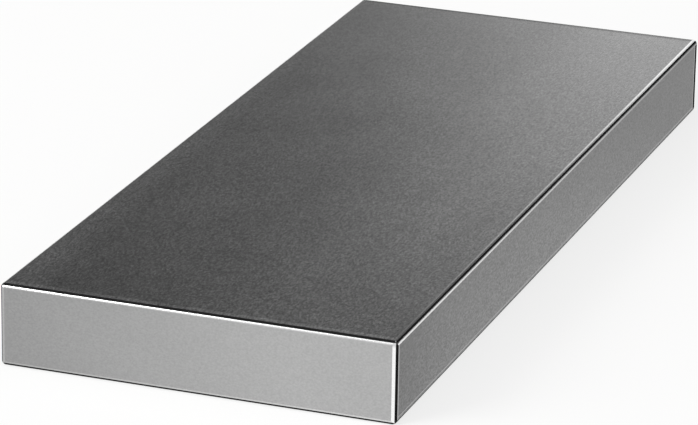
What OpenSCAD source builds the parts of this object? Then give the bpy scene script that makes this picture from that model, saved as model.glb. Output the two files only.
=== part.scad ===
// Ground flat steel plate: one rectangular block of stock with every edge broken at 45 degrees.
// X runs across the width, Y along the length and Z up, in millimetres.
// The origin is the middle of the underside, so the plate lies on the plane Z = 0.

/* [Plate] */
// Width over the two long ground sides
plate_width = 120; // [40:1:300]
// Length over the two ends
plate_length = 300; // [60:1:1000]
// Thickness between the two ground faces
plate_thickness = 25; // [8:0.5:60]

/* [Edges] */
// Leg of the chamfer round the edges of the top and the underside
face_edge_break = 0.8; // [0.2:0.1:2]
// Leg of the chamfer on the four upright corner edges
corner_edge_break = 0.8; // [0.2:0.1:2]

/* [Hidden] */

// Neutral grey of bare ground steel
steel_grey = [0.55, 0.55, 0.55];

// Rectangle about the origin whose four corners are cut back at 45 degrees by a leg of the given length
module broken_rectangle(across, along, leg) {
    side_x = across / 2;
    side_y = along / 2;
    flat_x = side_x - leg;
    flat_y = side_y - leg;
    polygon([
        [flat_x, -side_y], [side_x, -flat_y],
        [side_x, flat_y], [flat_x, side_y],
        [-flat_x, side_y], [-side_x, flat_y],
        [-side_x, -flat_y], [-flat_x, -side_y]
    ]);
}

// Outline seen from above, with the upright corner edges broken, as high as the plate is thick
module plan_prism() {
    linear_extrude(height = plate_thickness)
        broken_rectangle(plate_width, plate_length, corner_edge_break);
}

// Section across the width, run the full length: it breaks the long edges
module width_section_prism() {
    translate([0, plate_length / 2, plate_thickness / 2])
        rotate([90, 0, 0])
            linear_extrude(height = plate_length)
                broken_rectangle(plate_width, plate_thickness, face_edge_break);
}

// Section along the length, run the full width: it breaks the end edges
module length_section_prism() {
    translate([-plate_width / 2, 0, plate_thickness / 2])
        rotate([90, 0, 90])
            linear_extrude(height = plate_width)
                broken_rectangle(plate_length, plate_thickness, face_edge_break);
}

// The plate is what the three prisms share, so the chamfers meet in true mitres at the eight corners
module plate() {
    color(steel_grey)
        intersection() {
            plan_prism();
            width_section_prism();
            length_section_prism();
        }
}

plate();
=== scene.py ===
# %% [markdown]
# # A ground steel plate
# This lesson dresses one piece of raw stock: a flat steel plate that was ground on all its sides and had
# every edge broken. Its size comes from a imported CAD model, which Blender loads as a fixed frame and never
# moves. Each step says what the real plate has, how that could be made in Blender, and why it is made
# this way.

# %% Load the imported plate
import math

import bmesh
import bpy
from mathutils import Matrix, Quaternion, Vector


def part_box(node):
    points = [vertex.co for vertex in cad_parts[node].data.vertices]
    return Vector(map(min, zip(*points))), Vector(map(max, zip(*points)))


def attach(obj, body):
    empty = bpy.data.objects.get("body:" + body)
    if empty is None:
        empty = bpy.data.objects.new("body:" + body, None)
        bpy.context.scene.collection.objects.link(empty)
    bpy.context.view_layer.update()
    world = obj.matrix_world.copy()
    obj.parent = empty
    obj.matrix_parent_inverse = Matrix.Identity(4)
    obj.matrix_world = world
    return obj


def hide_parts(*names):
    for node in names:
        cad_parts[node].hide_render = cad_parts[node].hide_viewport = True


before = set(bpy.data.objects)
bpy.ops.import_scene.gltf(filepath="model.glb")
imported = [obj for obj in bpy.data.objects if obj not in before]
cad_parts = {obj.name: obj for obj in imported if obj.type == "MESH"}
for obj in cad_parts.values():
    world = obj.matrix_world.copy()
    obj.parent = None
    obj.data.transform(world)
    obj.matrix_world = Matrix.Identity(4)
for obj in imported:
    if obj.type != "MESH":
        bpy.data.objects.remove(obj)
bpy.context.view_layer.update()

plate_low, plate_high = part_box("plate")
plate_size = plate_high - plate_low
plate_middle = (plate_low + plate_high) / 2
MM = 0.001
print("plate, width length thickness in mm:", [round(side / MM, 2) for side in plate_size])

# %% [markdown]
# ## The camera
# The plate is seen across its near right corner from a little above, through a long lens that keeps its
# long edges almost parallel. A camera can be typed in as a place and three angles, but those say little to
# a reader. Turning it round a point on the plate says how far round it stands, how high, how far off and
# how level.

# %% Camera
LENS_MM = 225.59
SENSOR_MM = 36.0
CAMERA_DISTANCE = 1.360
camera_turn = math.radians(19.97)  # from the plate's near end round towards its right side
camera_rise = math.radians(19.80)  # above the floor
camera_roll = math.radians(0.90)  # the right edge of the picture is held a little high
camera_aim = Vector((-7.3, -5.3, 5.55)) * MM

level_part = math.cos(camera_rise)
towards_camera = Vector((math.sin(camera_turn) * level_part, -math.cos(camera_turn) * level_part,
                         math.sin(camera_rise)))
camera_data = bpy.data.cameras.new("camera")
camera_data.lens = LENS_MM
camera_data.sensor_width = SENSOR_MM
camera = bpy.data.objects.new("camera", camera_data)
camera.location = camera_aim + towards_camera * CAMERA_DISTANCE
camera.rotation_mode = "QUATERNION"
camera.rotation_quaternion = towards_camera.to_track_quat("Z", "Y") @ Quaternion((0, 0, 1), camera_roll)
scene = bpy.context.scene
scene.collection.objects.link(camera)
scene.camera = camera
print("camera at", [round(place, 3) for place in camera.location])

# %% [markdown]
# ## Helpers for paint
# A colour is easiest to read as the hex value that a screen shows, but a shader counts light, so one
# function turns the first into the second. A material is a net of nodes, and one more function adds a node
# with its settings and its links. An input that is given another node's output is linked, and any other
# value is set.

# %% Colour and node helpers
SRGB_TOE = 0.04045  # the sRGB curve is a straight line up to here
SRGB_SLOPE = 12.92
SRGB_SHIFT = 0.055  # and a shifted power from there on
SRGB_POWER = 2.4


def linear(hex_colour):
    """The light that an sRGB hex colour stands for, as red, green, blue and alpha."""
    shares = [int(hex_colour[place:place + 2], 16) / 255 for place in (1, 3, 5)]
    light = [share / SRGB_SLOPE if share <= SRGB_TOE
             else ((share + SRGB_SHIFT) / (1 + SRGB_SHIFT)) ** SRGB_POWER for share in shares]
    return light + [1.0]


def add_node(tree, kind, settings=None, inputs=None):
    """A new node of that kind, with its settings made and its inputs set or linked."""
    node = tree.nodes.new(kind)
    for name, value in (settings or {}).items():
        setattr(node, name, value)
    for socket, value in (inputs or {}).items():
        if isinstance(value, bpy.types.NodeSocket):
            tree.links.new(value, node.inputs[socket])
        else:
            node.inputs[socket].default_value = value
    return node


def new_material(name):
    """An empty material, and the node net that paints it."""
    material = bpy.data.materials.new(name)
    material.use_nodes = True
    material.node_tree.nodes.clear()
    return material, material.node_tree


print("mid grey as light:", round(linear("#808080")[0], 3))

# %% [markdown]
# ## The plate's shape
# The real plate is a sawn block whose six sides were ground flat and whose sharp edges were then broken, so
# that they don't cut a hand. The CAD model gives that break as a flat at 45 degrees. A stone rolls the
# flat's own corners over, and what is left is a small round that touches the middle of the flat. That round
# carries the thin lines along the plate's edges, so it is made as real shape: a box is bevelled once, in
# enough segments to look round. The lines on it are partly its own reflections and partly painted
# highlights and painted shade. Strips of painted highlight and painted shade also run a little way in over
# the faces. An inset would give every side of a face the same border. These strips differ in width, so each
# is cut off by a plane.

# %% Box with rounded edges
EDGE_BREAK = 0.8 * MM  # leg of the flat in the CAD model
EDGE_ROUND = EDGE_BREAK / (2 - math.sqrt(2))  # radius of the round that touches the middle of that flat
ROUND_SEGMENTS = 18  # five degrees each
LONG_BORDER = 0.3 * MM  # along the long edges of the broad faces
NEAR_BORDER = 0.7 * MM  # at the near end of the long sides
BACK_BORDER = 1.8 * MM  # at their back end, where a painted dark line of shade runs
PALE_BORDER = 0.5 * MM  # just before that one, a painted highlight line
FOOT_BORDER = 0.25 * MM  # along their foot
FOOT_GAP = 0.42 * MM  # which starts this far above the round
ACROSS = Vector((1, 0, 0))  # the plate's width
ALONG = Vector((0, 1, 0))  # its length
UP = Vector((0, 0, 1))  # its thickness
SQUARE_ON = math.cos(math.radians(1))  # a normal this close to an axis belongs to a ground face

shape = bmesh.new()
bmesh.ops.create_cube(shape, size=1.0)
bmesh.ops.scale(shape, vec=plate_size, verts=shape.verts)
bmesh.ops.translate(shape, vec=plate_middle, verts=shape.verts)
bmesh.ops.bevel(shape, geom=shape.edges[:], offset=EDGE_ROUND, offset_type="OFFSET",
                segments=ROUND_SEGMENTS, profile=0.5, affect="EDGES", clamp_overlap=True, material=-1)
left_line = plate_low.x + EDGE_ROUND + LONG_BORDER
right_line = plate_high.x - EDGE_ROUND - LONG_BORDER
near_line = plate_low.y + EDGE_ROUND + NEAR_BORDER
back_line = plate_high.y - EDGE_ROUND - BACK_BORDER
pale_line = back_line - PALE_BORDER
gap_line = plate_low.z + EDGE_ROUND + FOOT_GAP
foot_line = gap_line + FOOT_BORDER
# a cut is a point on one of the axes, and its plane looks along that axis
broad_cuts = [(UP, cut) for cut in (ACROSS * left_line, ACROSS * right_line)]
side_cuts = [(ACROSS, cut) for cut in (ALONG * near_line, ALONG * pale_line, ALONG * back_line,
                                       UP * gap_line, UP * foot_line)]
for facing, cut in broad_cuts + side_cuts:
    faces = [face for face in shape.faces if abs(face.normal.dot(facing)) > SQUARE_ON]
    edges = list(dict.fromkeys(edge for face in faces for edge in face.edges))
    points = list(dict.fromkeys(point for face in faces for point in face.verts))
    bmesh.ops.bisect_plane(shape, geom=faces + edges + points, plane_co=cut, plane_no=cut)
print("edge round in mm:", round(EDGE_ROUND / MM, 2), "faces:", len(shape.faces))

# %% [markdown]
# ## Which face is which
# One plate can carry several finishes when each of its faces names the material it wears. The broad faces,
# the long sides and the ends were each ground in their own way. A painted highlight makes a bright frame
# round the top and the right of each end and a faint one round the rest. Along the long edges a painted
# highlight makes a pale border above and a bright shoulder below, and between these runs a dark line of
# painted shade. Such a line also marks the back edge of the long sides, and thin painted highlight lines
# run just before it, along their near end and along their foot. Picking the faces by hand would do, but a
# face's own normal tells which edge it belongs to and how far round it lies. Sorting by that also mitres
# the corners. The strips that lie flat in a face are told by their place instead.

# %% Sort the faces by where they look
FINISHES = ["broad_faces", "long_sides", "ends", "painted_bright_frames", "painted_faint_frames", "borders",
            "side_borders", "shoulders", "painted_shade_lines"]
BORDER_REACH = math.sin(math.radians(32))  # a border reaches this far round a long edge from above
SHOULDER_REACH = math.sin(math.radians(35))  # a shoulder reaches this far round it from the side
CORNER_REACH = math.sin(math.radians(15))  # and ends this far round a corner, which keeps the painted dark line
SIDE_REACH = math.sin(math.radians(10))  # the ground steel of a long side reaches this far round its foot
LIP_REACH = math.sin(math.radians(10))  # a broad face reaches this far round the near edge
FRAME_START = math.sin(math.radians(15))  # a bright frame starts this far round the top edge of an end
FRAME_REACH = math.sin(math.radians(40))  # and reaches this far, as it does round the right edge
FOOT_REACH = math.sin(math.radians(20))  # a faint frame reaches this far round the foot of an end
LEFT_REACH = math.sin(math.radians(35))  # and this far round its left edge


def finish_of(normal):
    """The finish of a face that looks that way."""
    across, along, up = [abs(part) for part in normal]
    if up > SQUARE_ON:
        return "broad_faces"
    if across > SQUARE_ON:
        return "long_sides"
    if along > SQUARE_ON:
        return "ends"
    if along < min(across, up):  # a long edge
        if across < BORDER_REACH:
            return "borders"
        if up < SHOULDER_REACH and along < CORNER_REACH and normal.z > 0:
            return "shoulders"
        if up < SIDE_REACH:
            return "long_sides"
    elif across < up:  # the top or the foot of an end
        if along < LIP_REACH and normal.y < 0 < normal.z:
            return "broad_faces"
        if up < FRAME_START and normal.z > 0:
            return "ends"
        if up < FRAME_REACH and normal.z > 0:
            return "painted_bright_frames"
        if up < FOOT_REACH:
            return "painted_faint_frames"
    else:  # an upright edge of an end
        if across < FRAME_REACH and normal.x > 0:
            return "painted_bright_frames"
        if across < LEFT_REACH:
            return "painted_faint_frames"
    return "painted_shade_lines"


counts = dict.fromkeys(FINISHES, 0)
for face in shape.faces:
    finish = finish_of(face.normal)
    middle = face.calc_center_median()
    if finish == "broad_faces" and not left_line < middle.x < right_line:
        finish = "borders"
    on_side = abs(face.normal.x) > SQUARE_ON
    if on_side and (middle.y < near_line or middle.y > pale_line or gap_line < middle.z < foot_line):
        finish = "side_borders"
    if on_side and middle.y > back_line:
        finish = "painted_shade_lines"
    face.material_index = FINISHES.index(finish)
    face.smooth = True
    counts[finish] += 1
print("faces of each finish:", counts)

# %% [markdown]
# ## From the mesh to an object
# Smooth shading would blend the broad faces into the rounds and make flat steel look pillowed. The Weighted
# Normal modifier lets each large face keep its own direction, so only the narrow rounds bend the light.

# %% Make the plate object
plate_mesh = bpy.data.meshes.new("ground_plate")
shape.to_mesh(plate_mesh)
shape.free()
plate = bpy.data.objects.new("ground_plate", plate_mesh)
scene.collection.objects.link(plate)
flat_faces = plate.modifiers.new("flat_faces", "WEIGHTED_NORMAL")
flat_faces.mode = "FACE_AREA"
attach(plate, "root")
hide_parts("plate")
print("plate mesh:", len(plate_mesh.vertices), "points,", len(plate_mesh.polygons), "faces")

# %% [markdown]
# ## Ground steel
# A surface grinder leaves thousands of fine parallel scratches, the lay, running the way the table
# travelled. They are a few hundredths of a millimetre apart, far too fine to see one by one, and together
# they give the steel a grey satin sheen with a faint grain along the lay. The wheel wears as it works and
# the coolant dries on the steel, so a face also has faint clouds. Its fades from one side to another are
# painted light and shade. A picture of steel could be laid on as a texture, but noise stretched along the
# lay does the same at any size, and one function can turn it to suit each side.

# %% Ground steel material
GRAIN_WIDTH = 0.45 * MM  # real scratches are over ten times finer: this is as coarse as the picture needs
GRAIN_DETAIL = 2.0
CLOUD_WIDTH = 24 * MM
CLOUD_LENGTH = 38 * MM
CLOUD_DETAIL = 3.0
CLOUD_GLOSS = 0.01  # how much duller or glossier a cloud is
SCRATCH_DEPTH = 0.001 * MM
AS_MAPPED = 1.0  # a noise node's own scale, because the Mapping node before it sizes the pattern
NOISE_LOW, NOISE_HIGH = 0.25, 0.75  # nearly all of a noise node's values lie between these


def ground_steel(name, steel_hex, roughness, lay, grain_length, grain_near, grain_far, clouds, fades):
    """Steel with a grain along its lay, faint clouds, and fades.

    The grain changes the colour by the share grain_near at the near end and grain_far at the far end. A
    fade is a direction, how far along it the colour starts to change, where it has changed, and the share
    of the colour that is left there.
    """
    material, tree = new_material(name)
    place = add_node(tree, "ShaderNodeTexCoord").outputs["Object"]
    grain_scale = [1 / grain_length if part else 1 / GRAIN_WIDTH for part in lay]
    cloud_scale = [1 / CLOUD_LENGTH if part else 1 / CLOUD_WIDTH for part in lay]
    grain_place = add_node(tree, "ShaderNodeMapping", inputs={"Vector": place, "Scale": grain_scale})
    cloud_place = add_node(tree, "ShaderNodeMapping", inputs={"Vector": place, "Scale": cloud_scale})
    grain = add_node(tree, "ShaderNodeTexNoise",
                     inputs={"Vector": grain_place.outputs["Vector"], "Scale": AS_MAPPED,
                             "Detail": GRAIN_DETAIL}).outputs["Fac"]
    cloud = add_node(tree, "ShaderNodeTexNoise",
                     inputs={"Vector": cloud_place.outputs["Vector"], "Scale": AS_MAPPED,
                             "Detail": CLOUD_DETAIL}).outputs["Fac"]
    grain_swing = add_node(tree, "ShaderNodeMapRange",
                           inputs={"Value": grain, "From Min": NOISE_LOW, "From Max": NOISE_HIGH,
                                   "To Min": -1.0, "To Max": 1.0}).outputs["Result"]
    length = add_node(tree, "ShaderNodeVectorMath", {"operation": "DOT_PRODUCT"},
                      {0: place, 1: ALONG}).outputs["Value"]
    grain_share = add_node(tree, "ShaderNodeMapRange",
                           inputs={"Value": length, "From Min": plate_low.y, "From Max": plate_high.y,
                                   "To Min": grain_near, "To Max": grain_far}).outputs["Result"]
    fine = add_node(tree, "ShaderNodeMath", {"operation": "MULTIPLY_ADD"},
                    {0: grain_swing, 1: grain_share, 2: 1.0}).outputs["Value"]
    broad = add_node(tree, "ShaderNodeMapRange",
                     inputs={"Value": cloud, "From Min": NOISE_LOW, "From Max": NOISE_HIGH,
                             "To Min": 1 - clouds, "To Max": 1 + clouds}).outputs["Result"]
    tone = add_node(tree, "ShaderNodeMath", {"operation": "MULTIPLY"}, {0: fine, 1: broad}).outputs["Value"]
    # each fade lays painted light or shade over the colour
    for direction, start, full, share in fades:
        reach = add_node(tree, "ShaderNodeVectorMath", {"operation": "DOT_PRODUCT"},
                         {0: place, 1: direction}).outputs["Value"]
        fade = add_node(tree, "ShaderNodeMapRange",
                        inputs={"Value": reach, "From Min": start, "From Max": full,
                                "To Min": 1.0, "To Max": share}).outputs["Result"]
        tone = add_node(tree, "ShaderNodeMath", {"operation": "MULTIPLY"},
                        {0: tone, 1: fade}).outputs["Value"]
    colour = add_node(tree, "ShaderNodeVectorMath", {"operation": "SCALE"},
                      {0: linear(steel_hex)[:3], "Scale": tone}).outputs["Vector"]
    dullness = add_node(tree, "ShaderNodeMapRange",
                        inputs={"Value": cloud, "From Min": NOISE_LOW, "From Max": NOISE_HIGH,
                                "To Min": roughness - CLOUD_GLOSS,
                                "To Max": roughness + CLOUD_GLOSS}).outputs["Result"]
    scratches = add_node(tree, "ShaderNodeBump", inputs={"Height": grain, "Distance": SCRATCH_DEPTH})
    steel = add_node(tree, "ShaderNodeBsdfPrincipled",
                     inputs={"Base Color": colour, "Metallic": 1.0, "Roughness": dullness,
                             "Normal": scratches.outputs["Normal"]})
    add_node(tree, "ShaderNodeOutputMaterial", inputs={"Surface": steel.outputs["BSDF"]})
    return material


print("grain in mm:", GRAIN_WIDTH / MM, "clouds in mm:", CLOUD_WIDTH / MM, "by", CLOUD_LENGTH / MM)

# %% [markdown]
# ## The broad faces
# The broad faces came off the grinder last, so they are the smoothest and mirror the room as a soft
# shading. Painted light makes them paler along the left edge, along the near lip and in a band across
# them, and painted shade darkens them to the right of that band and towards the near edge. A dark line of
# painted shade runs along the back edge. Each such change could be its own piece of mesh, but a fade of
# the colour along one direction leaves no seam.

# %% Broad faces
front_end = plate_low.y + EDGE_ROUND  # the flat of a face lies between these
back_end = plate_high.y - EDGE_ROUND
SHADE_LINE_SLANT = 0.008  # the painted dark line of shade along the back edge is a little wider to the right
SHADE_LINE_WAY = ALONG + SHADE_LINE_SLANT * ACROSS
SHADE_LINE_START = 1.9 * MM  # both measured that way, from the end of the flat
SHADE_LINE_FULL = 0.7 * MM
SHADE_LINE_SHARE = 0.48  # each share says how much of the colour is left where a fade is full
LEFT_LIGHT_SLANT = 0.04  # the painted light along the left edge is wider near by
LEFT_LIGHT_WAY = -ACROSS - LEFT_LIGHT_SLANT * ALONG
LEFT_LIGHT_START = 51 * MM  # both measured that way, from the middle
LEFT_LIGHT_FULL = 60 * MM
LEFT_LIGHT_SHARE = 1.32
LIGHT_BAND_START = (10 * MM, 22 * MM)  # painted light makes a band paler from here
LIGHT_BAND_END = (36 * MM, 56 * MM)  # to here, both measured from the middle
LIGHT_BAND_START_SHARE = 1.08
LIGHT_BAND_END_SHARE = 0.885
NEAR_SHADE_REACH = 26 * MM  # painted shade darkens it towards the near edge
NEAR_SHADE_SHARE = 0.93
LIP_HIGHLIGHT_START = 2.1 * MM  # but for the lip there, which a painted highlight makes paler
LIP_HIGHLIGHT_FULL = 1.5 * MM
LIP_HIGHLIGHT_SHARE = 1.45

materials = {}
# smooth mid grey that takes its shading from the room, with painted light and shade laid on it
materials["broad_faces"] = ground_steel(
    "steel_ground_broad_painted_light_shade", "#B4B4B4", roughness=0.25, lay=ALONG, grain_length=1.2 * MM,
    grain_near=0.56, grain_far=0.25, clouds=0.07,
    fades=[(SHADE_LINE_WAY, back_end - SHADE_LINE_START, back_end - SHADE_LINE_FULL, SHADE_LINE_SHARE),
           (LEFT_LIGHT_WAY, LEFT_LIGHT_START, LEFT_LIGHT_FULL, LEFT_LIGHT_SHARE),
           (ACROSS, *LIGHT_BAND_START, LIGHT_BAND_START_SHARE),
           (ACROSS, *LIGHT_BAND_END, LIGHT_BAND_END_SHARE),
           (ALONG, front_end + NEAR_SHADE_REACH, front_end, NEAR_SHADE_SHARE),
           (ALONG, front_end + LIP_HIGHLIGHT_START, front_end + LIP_HIGHLIGHT_FULL, LIP_HIGHLIGHT_SHARE)])
print("broad faces wear", materials["broad_faces"].name)

# %% [markdown]
# ## The long sides and the ends
# The long sides are painted darker, as painted shade for the shaded floor that they mirror. Painted shade
# darkens them further from the foot up, towards both ends and towards the far top corner. The ends were
# ground across and look the palest and most even, and painted light makes them paler to the right. The
# same function makes both, with other values.

# %% Long sides and ends
SIDE_TOP_SHADE_SHARE = 0.72  # of a side's colour is left at the top, a painted shade
NEAR_END_SHADE = 45 * MM  # painted shade darkens the near end over this length
NEAR_END_SHADE_SHARE = 0.76
BACK_END_SHADE = 110 * MM  # and the back end over this
BACK_END_SHADE_SHARE = 0.78
CORNER_SHADE_SLANT = 4  # a millimetre up counts as this many along
CORNER_SHADE_WAY = ALONG + CORNER_SHADE_SLANT * UP  # painted shade towards the far top corner
CORNER_SHADE_START = 50 * MM  # both measured that way, from the middle of the foot
CORNER_SHADE_FULL = 250 * MM
CORNER_SHADE_SHARE = 0.62
END_LIGHT_PART = 0.75  # painted light makes an end its palest from this part of its width to the right
END_LIGHT_SHARE = 1.38
end_light_side = plate_low.x + END_LIGHT_PART * plate_size.x

# painted darker as shade and a little duller, palest at the foot
materials["long_sides"] = ground_steel(
    "steel_ground_side_painted_shade", "#757575", roughness=0.28, lay=ALONG, grain_length=1.1 * MM,
    grain_near=0.64, grain_far=0.60, clouds=0.05,
    fades=[(UP, plate_low.z, plate_high.z, SIDE_TOP_SHADE_SHARE),
           (ALONG, front_end + NEAR_END_SHADE, front_end, NEAR_END_SHADE_SHARE),
           (ALONG, back_end - BACK_END_SHADE, back_end, BACK_END_SHADE_SHARE),
           (CORNER_SHADE_WAY, CORNER_SHADE_START, CORNER_SHADE_FULL, CORNER_SHADE_SHARE)])
# an even satin, with painted light making it paler to the right
materials["ends"] = ground_steel(
    "steel_ground_end_painted_light", "#999999", roughness=0.32, lay=ACROSS, grain_length=0.6 * MM,
    grain_near=0.10, grain_far=0.10, clouds=0.02,
    fades=[(ACROSS, plate_low.x, end_light_side, END_LIGHT_SHARE)])
print("ground finishes:", list(materials))

# %% [markdown]
# ## Stoned frames with painted highlights
# A fine stone makes the same steel smooth, so a stoned edge mirrors the room almost white. Painted highlight
# makes the frame of each end brighter along the top and the right than elsewhere. White paint would look the
# same from the front, but it wouldn't darken as the plate is turned.

# %% Frames of the ends
HIGHLIGHT_RIGHT_SHARE = 1.08  # painted highlight makes a bright frame a little brighter to the right
HIGHLIGHT_TOP_START = 2.0 * MM  # and less bright along the top, both measured down from the broad face
HIGHLIGHT_TOP_FULL = 1.1 * MM
HIGHLIGHT_TOP_SHARE = 0.75
FAINT_HIGHLIGHT_RIGHT_SHARE = 1.58  # painted light makes a faint frame brighter to the right, with the end beside it

# almost white, a painted highlight, like a mirror that was slightly breathed on
materials["painted_bright_frames"] = ground_steel(
    "steel_stoned_painted_highlight", "#F2F2F2", roughness=0.16, lay=ACROSS, grain_length=0.6 * MM,
    grain_near=0.06, grain_far=0.06, clouds=0.02,
    fades=[(ACROSS, plate_low.x, plate_high.x, HIGHLIGHT_RIGHT_SHARE),
           (UP, plate_high.z - HIGHLIGHT_TOP_START, plate_high.z - HIGHLIGHT_TOP_FULL, HIGHLIGHT_TOP_SHARE)])
# a thin painted highlight line, a little paler than the end
materials["painted_faint_frames"] = ground_steel(
    "steel_stoned_faint_painted_highlight", "#AFAFAF", roughness=0.16, lay=ACROSS, grain_length=0.6 * MM,
    grain_near=0.06, grain_far=0.06, clouds=0.02,
    fades=[(ACROSS, plate_low.x, plate_high.x, FAINT_HIGHLIGHT_RIGHT_SHARE)])
print("frames:", materials["painted_bright_frames"].name, "and", materials["painted_faint_frames"].name)

# %% [markdown]
# ## Stoned borders and shoulders with painted highlights
# On the long edges painted highlight makes the border above brighter towards the back, and the painted
# highlight on the shoulder below fades. The thin painted highlight lines on the long sides are only a little
# paler than the steel round them. All of them are narrow, and beside the painted dark lines they make the
# edges look crisp.

# %% Borders and shoulders of the long edges
BORDER_HIGHLIGHT_START = -10 * MM  # painted highlight brightens a border from here
BORDER_HIGHLIGHT_FULL = 110 * MM  # to here, both measured along the plate from its middle
BORDER_HIGHLIGHT_SHARE = 1.31
SIDE_BACK_SHARE = 0.90  # of the near end's colour is left at the back
SHOULDER_BACK_SHARE = 0.24

# a painted highlight, pale at the near end, almost white at the far end
materials["borders"] = ground_steel(
    "steel_stoned_border_painted_highlight", "#E0E0E0", roughness=0.12, lay=ALONG, grain_length=1.4 * MM,
    grain_near=0.08, grain_far=0.08, clouds=0.04,
    fades=[(ALONG, BORDER_HIGHLIGHT_START, BORDER_HIGHLIGHT_FULL, BORDER_HIGHLIGHT_SHARE)])
# thin painted highlight lines, a little paler than the side
materials["side_borders"] = ground_steel(
    "steel_side_painted_highlight_lines", "#B0B0B0", roughness=0.20, lay=ALONG, grain_length=1.4 * MM,
    grain_near=0.08, grain_far=0.08, clouds=0.04,
    fades=[(ALONG, plate_low.y, plate_high.y, SIDE_BACK_SHARE)])
# a painted highlight, almost white at the near end, lost in the side at the far end
materials["shoulders"] = ground_steel(
    "steel_stoned_shoulder_painted_highlight", "#F2F2F2", roughness=0.25, lay=ALONG, grain_length=1.4 * MM,
    grain_near=0.08, grain_far=0.08, clouds=0.04,
    fades=[(ALONG, plate_low.y, plate_high.y, SHOULDER_BACK_SHARE)])
print("finishes so far:", len(materials), "of", len(FINISHES))

# %% [markdown]
# ## Painted dark lines
# A dull black line of painted shade runs along the edges, where it stands in for dark reflections. Dark
# metal would still shine when it is seen at a flat angle. This line doesn't, so it is a plain matt skin
# without any gloss, with small streaks in its colour.

# %% Painted dark lines
SHADE_LINE_STREAK = 0.8 * MM
SHADE_LINE_DETAIL = 2.0
SHADE_LINE_DEPTH = 0.002 * MM
SHADE_LINE_ROUGHNESS = (0.7, 0.9)
shade_line, shade_line_tree = new_material("painted_shade_line_matt")  # nearly black from any side
shade_line_place = add_node(shade_line_tree, "ShaderNodeTexCoord").outputs["Object"]
streaks = add_node(shade_line_tree, "ShaderNodeTexNoise",
                   inputs={"Vector": shade_line_place, "Scale": 1 / SHADE_LINE_STREAK,
                           "Detail": SHADE_LINE_DETAIL}).outputs["Fac"]
# painted shade: the near-black colour of the dark lines, with small streaks
shade_line_colour = add_node(shade_line_tree, "ShaderNodeMix", {"data_type": "RGBA"},
                      {"Factor": streaks, "A": linear("#141414"), "B": linear("#242424")}).outputs["Result"]
shade_line_dullness = add_node(shade_line_tree, "ShaderNodeMapRange",
                        inputs={"Value": streaks, "To Min": SHADE_LINE_ROUGHNESS[0],
                                "To Max": SHADE_LINE_ROUGHNESS[1]}).outputs["Result"]
shade_line_film = add_node(shade_line_tree, "ShaderNodeBump", inputs={"Height": streaks, "Distance": SHADE_LINE_DEPTH})
shade_line_skin = add_node(shade_line_tree, "ShaderNodeBsdfPrincipled",
                    inputs={"Base Color": shade_line_colour, "Roughness": shade_line_dullness, "Specular IOR Level": 0.0,
                            "Normal": shade_line_film.outputs["Normal"]})
add_node(shade_line_tree, "ShaderNodeOutputMaterial", inputs={"Surface": shade_line_skin.outputs["BSDF"]})
materials["painted_shade_lines"] = shade_line
for finish in FINISHES:
    plate_mesh.materials.append(materials[finish])
print("materials on the plate:", [material.name for material in plate_mesh.materials])

# %% [markdown]
# ## The floor
# A pale matt floor stands in for the white sheet that such stock is pictured on. More light could whiten
# it, but that would wash out the steel too, so what is seen of the floor is mixed with plain white, straight
# on and in the steel's mirror alike. The shadow stays, only fainter. The upright sides mirror this floor,
# so it sets their tone.

# %% Floor
FLOOR_REACH = 8.0
FLOOR_WHITENING = 0.75
floor_shape = bmesh.new()
bmesh.ops.create_grid(floor_shape, x_segments=1, y_segments=1, size=FLOOR_REACH)
floor_mesh = bpy.data.meshes.new("floor")
floor_shape.to_mesh(floor_mesh)
floor_shape.free()
floor = bpy.data.objects.new("floor", floor_mesh)
scene.collection.objects.link(floor)
floor_paint, floor_tree = new_material("floor_matt_white")  # even and without any gloss
floor_matt = add_node(floor_tree, "ShaderNodeBsdfPrincipled",
                      inputs={"Base Color": linear("#F4F4F3"), "Roughness": 1.0, "Specular IOR Level": 0.0})
floor_white = add_node(floor_tree, "ShaderNodeEmission",
                       inputs={"Color": linear("#FFFFFF"), "Strength": 1.0})
ray = add_node(floor_tree, "ShaderNodeLightPath").outputs
seen = add_node(floor_tree, "ShaderNodeMath", {"operation": "MAXIMUM"},
                {0: ray["Is Camera Ray"], 1: ray["Is Glossy Ray"]}).outputs["Value"]
seen = add_node(floor_tree, "ShaderNodeMath", {"operation": "MAXIMUM"},
                {0: seen, 1: ray["Is Transmission Ray"]}).outputs["Value"]
whitening = add_node(floor_tree, "ShaderNodeMath", {"operation": "MULTIPLY"},
                     {0: seen, 1: FLOOR_WHITENING}).outputs["Value"]
floor_mix = add_node(floor_tree, "ShaderNodeMixShader",
                     inputs={"Fac": whitening, 1: floor_matt.outputs["BSDF"],
                             2: floor_white.outputs["Emission"]})
add_node(floor_tree, "ShaderNodeOutputMaterial", inputs={"Surface": floor_mix.outputs["Shader"]})
floor_mesh.materials.append(floor_paint)
print("floor reaches", FLOOR_REACH, "m each way")

# %% [markdown]
# ## The room
# Bare metal is a picture of its room. A lamp for each highlight could be set up, but the plate's top mirrors
# one narrow patch of the room behind it, so that patch is what has to be right. The room here is a plain
# pale one, brightest on the camera's side. A dark screen stands behind the plate, with a low bright panel
# before its middle. The top mirrors the panel at the back right and the screen everywhere else, and the
# soft edge between them is its shading. Each value below that is a pair is read off a direction of length
# one: how far right, back or up it goes where something begins or ends, and where it is full.

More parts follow.
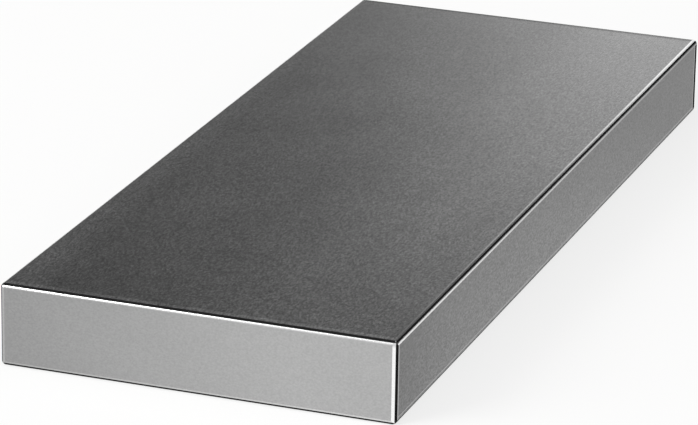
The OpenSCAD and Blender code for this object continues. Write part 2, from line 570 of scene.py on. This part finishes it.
# %% World
SCREEN_LIGHT = 0.11
PANEL_LIGHT = 1.10
ROOM_LIGHT = 0.78
FRONT_LIGHT = 0.97
PANEL_LEAN = -0.375  # the panel's left edge leans to the right as it rises
PANEL_LEFT = (-0.449, -0.330)  # how far right the panel begins and is full
PANEL_RIGHT = (0.16, 0.06)  # how far right it ends and is still full
PANEL_TOP = (0.425, 0.371)  # how far up it ends and is still full
SCREEN_SIDE = (0.5, 0.3)  # how far back the screen ends and the open room is full
SCREEN_TOP = (0.65, 0.90)  # how far up the screen ends and the open room is full
FRONT_REACH = (-0.1, -0.5)  # how far back, here less than nothing, the front light begins and is full

world = bpy.data.worlds.new("studio")
scene.world = world
world.use_nodes = True
room = world.node_tree
room.nodes.clear()
soft = {"interpolation_type": "SMOOTHSTEP"}
look = add_node(room, "ShaderNodeTexCoord").outputs["Generated"]
parts = add_node(room, "ShaderNodeSeparateXYZ", inputs={"Vector": look}).outputs
leaning = add_node(room, "ShaderNodeVectorMath", {"operation": "DOT_PRODUCT"},
                   {0: look, 1: (1.0, 0.0, PANEL_LEAN)}).outputs["Value"]
right_part = add_node(room, "ShaderNodeMapRange", soft,
                      {"Value": leaning, "From Min": PANEL_LEFT[0],
                       "From Max": PANEL_LEFT[1]}).outputs["Result"]
left_part = add_node(room, "ShaderNodeMapRange", soft,
                     {"Value": parts["X"], "From Min": PANEL_RIGHT[0],
                      "From Max": PANEL_RIGHT[1]}).outputs["Result"]
low_part = add_node(room, "ShaderNodeMapRange", soft,
                    {"Value": parts["Z"], "From Min": PANEL_TOP[0],
                     "From Max": PANEL_TOP[1]}).outputs["Result"]
panel = add_node(room, "ShaderNodeMath", {"operation": "MULTIPLY"},
                 {0: right_part, 1: left_part}).outputs["Value"]
panel = add_node(room, "ShaderNodeMath", {"operation": "MULTIPLY"}, {0: panel, 1: low_part}).outputs["Value"]
behind = add_node(room, "ShaderNodeMapRange",
                  inputs={"Value": panel, "To Min": SCREEN_LIGHT, "To Max": PANEL_LIGHT}).outputs["Result"]
beside = add_node(room, "ShaderNodeMapRange", soft,
                  {"Value": parts["Y"], "From Min": SCREEN_SIDE[0],
                   "From Max": SCREEN_SIDE[1]}).outputs["Result"]
above = add_node(room, "ShaderNodeMapRange", soft,
                 {"Value": parts["Z"], "From Min": SCREEN_TOP[0],
                  "From Max": SCREEN_TOP[1]}).outputs["Result"]
clear = add_node(room, "ShaderNodeMath", {"operation": "MAXIMUM"}, {0: beside, 1: above}).outputs["Value"]
open_room = add_node(room, "ShaderNodeMapRange", soft,
                     {"Value": parts["Y"], "From Min": FRONT_REACH[0], "From Max": FRONT_REACH[1],
                      "To Min": ROOM_LIGHT, "To Max": FRONT_LIGHT}).outputs["Result"]
light = add_node(room, "ShaderNodeMapRange",
                 inputs={"Value": clear, "To Min": behind, "To Max": open_room}).outputs["Result"]
backdrop = add_node(room, "ShaderNodeBackground", inputs={"Color": linear("#FFFFFF"), "Strength": light})
add_node(room, "ShaderNodeOutputWorld", inputs={"Surface": backdrop.outputs["Background"]})
print("room light, front, all round, panel and screen:", FRONT_LIGHT, ROOM_LIGHT, PANEL_LIGHT, SCREEN_LIGHT)

# %% [markdown]
# ## The key light
# One soft lamp from the left and in front adds to the room's light on the floor, and lays a soft shadow to
# the right. A sun would do that too, but its shadow would have hard edges.

# %% Key lamp
KEY_WATTS = 86
KEY_SIZE = 1.9
KEY_DISTANCE = 3.5
key_from = Vector((-0.62, -0.62, 0.48)).normalized()  # from the plate towards the lamp
key_data = bpy.data.lights.new("key", "AREA")
key_data.shape = "SQUARE"
key_data.size = KEY_SIZE
key_data.energy = KEY_WATTS
key = bpy.data.objects.new("key", key_data)
key.location = key_from * KEY_DISTANCE
key.rotation_mode = "QUATERNION"
key.rotation_quaternion = key_from.to_track_quat("Z", "Y")
key.visible_camera = False
scene.collection.objects.link(key)
print("key lamp at", [round(place, 2) for place in key.location])

# %% [markdown]
# ## Finish
# The Standard view shows colours as they are written. The CAD plate is only hidden, so both plates stay in
# the scene. The dressed plate is no larger than the CAD model.

# %% View
scene.view_settings.view_transform = "Standard"
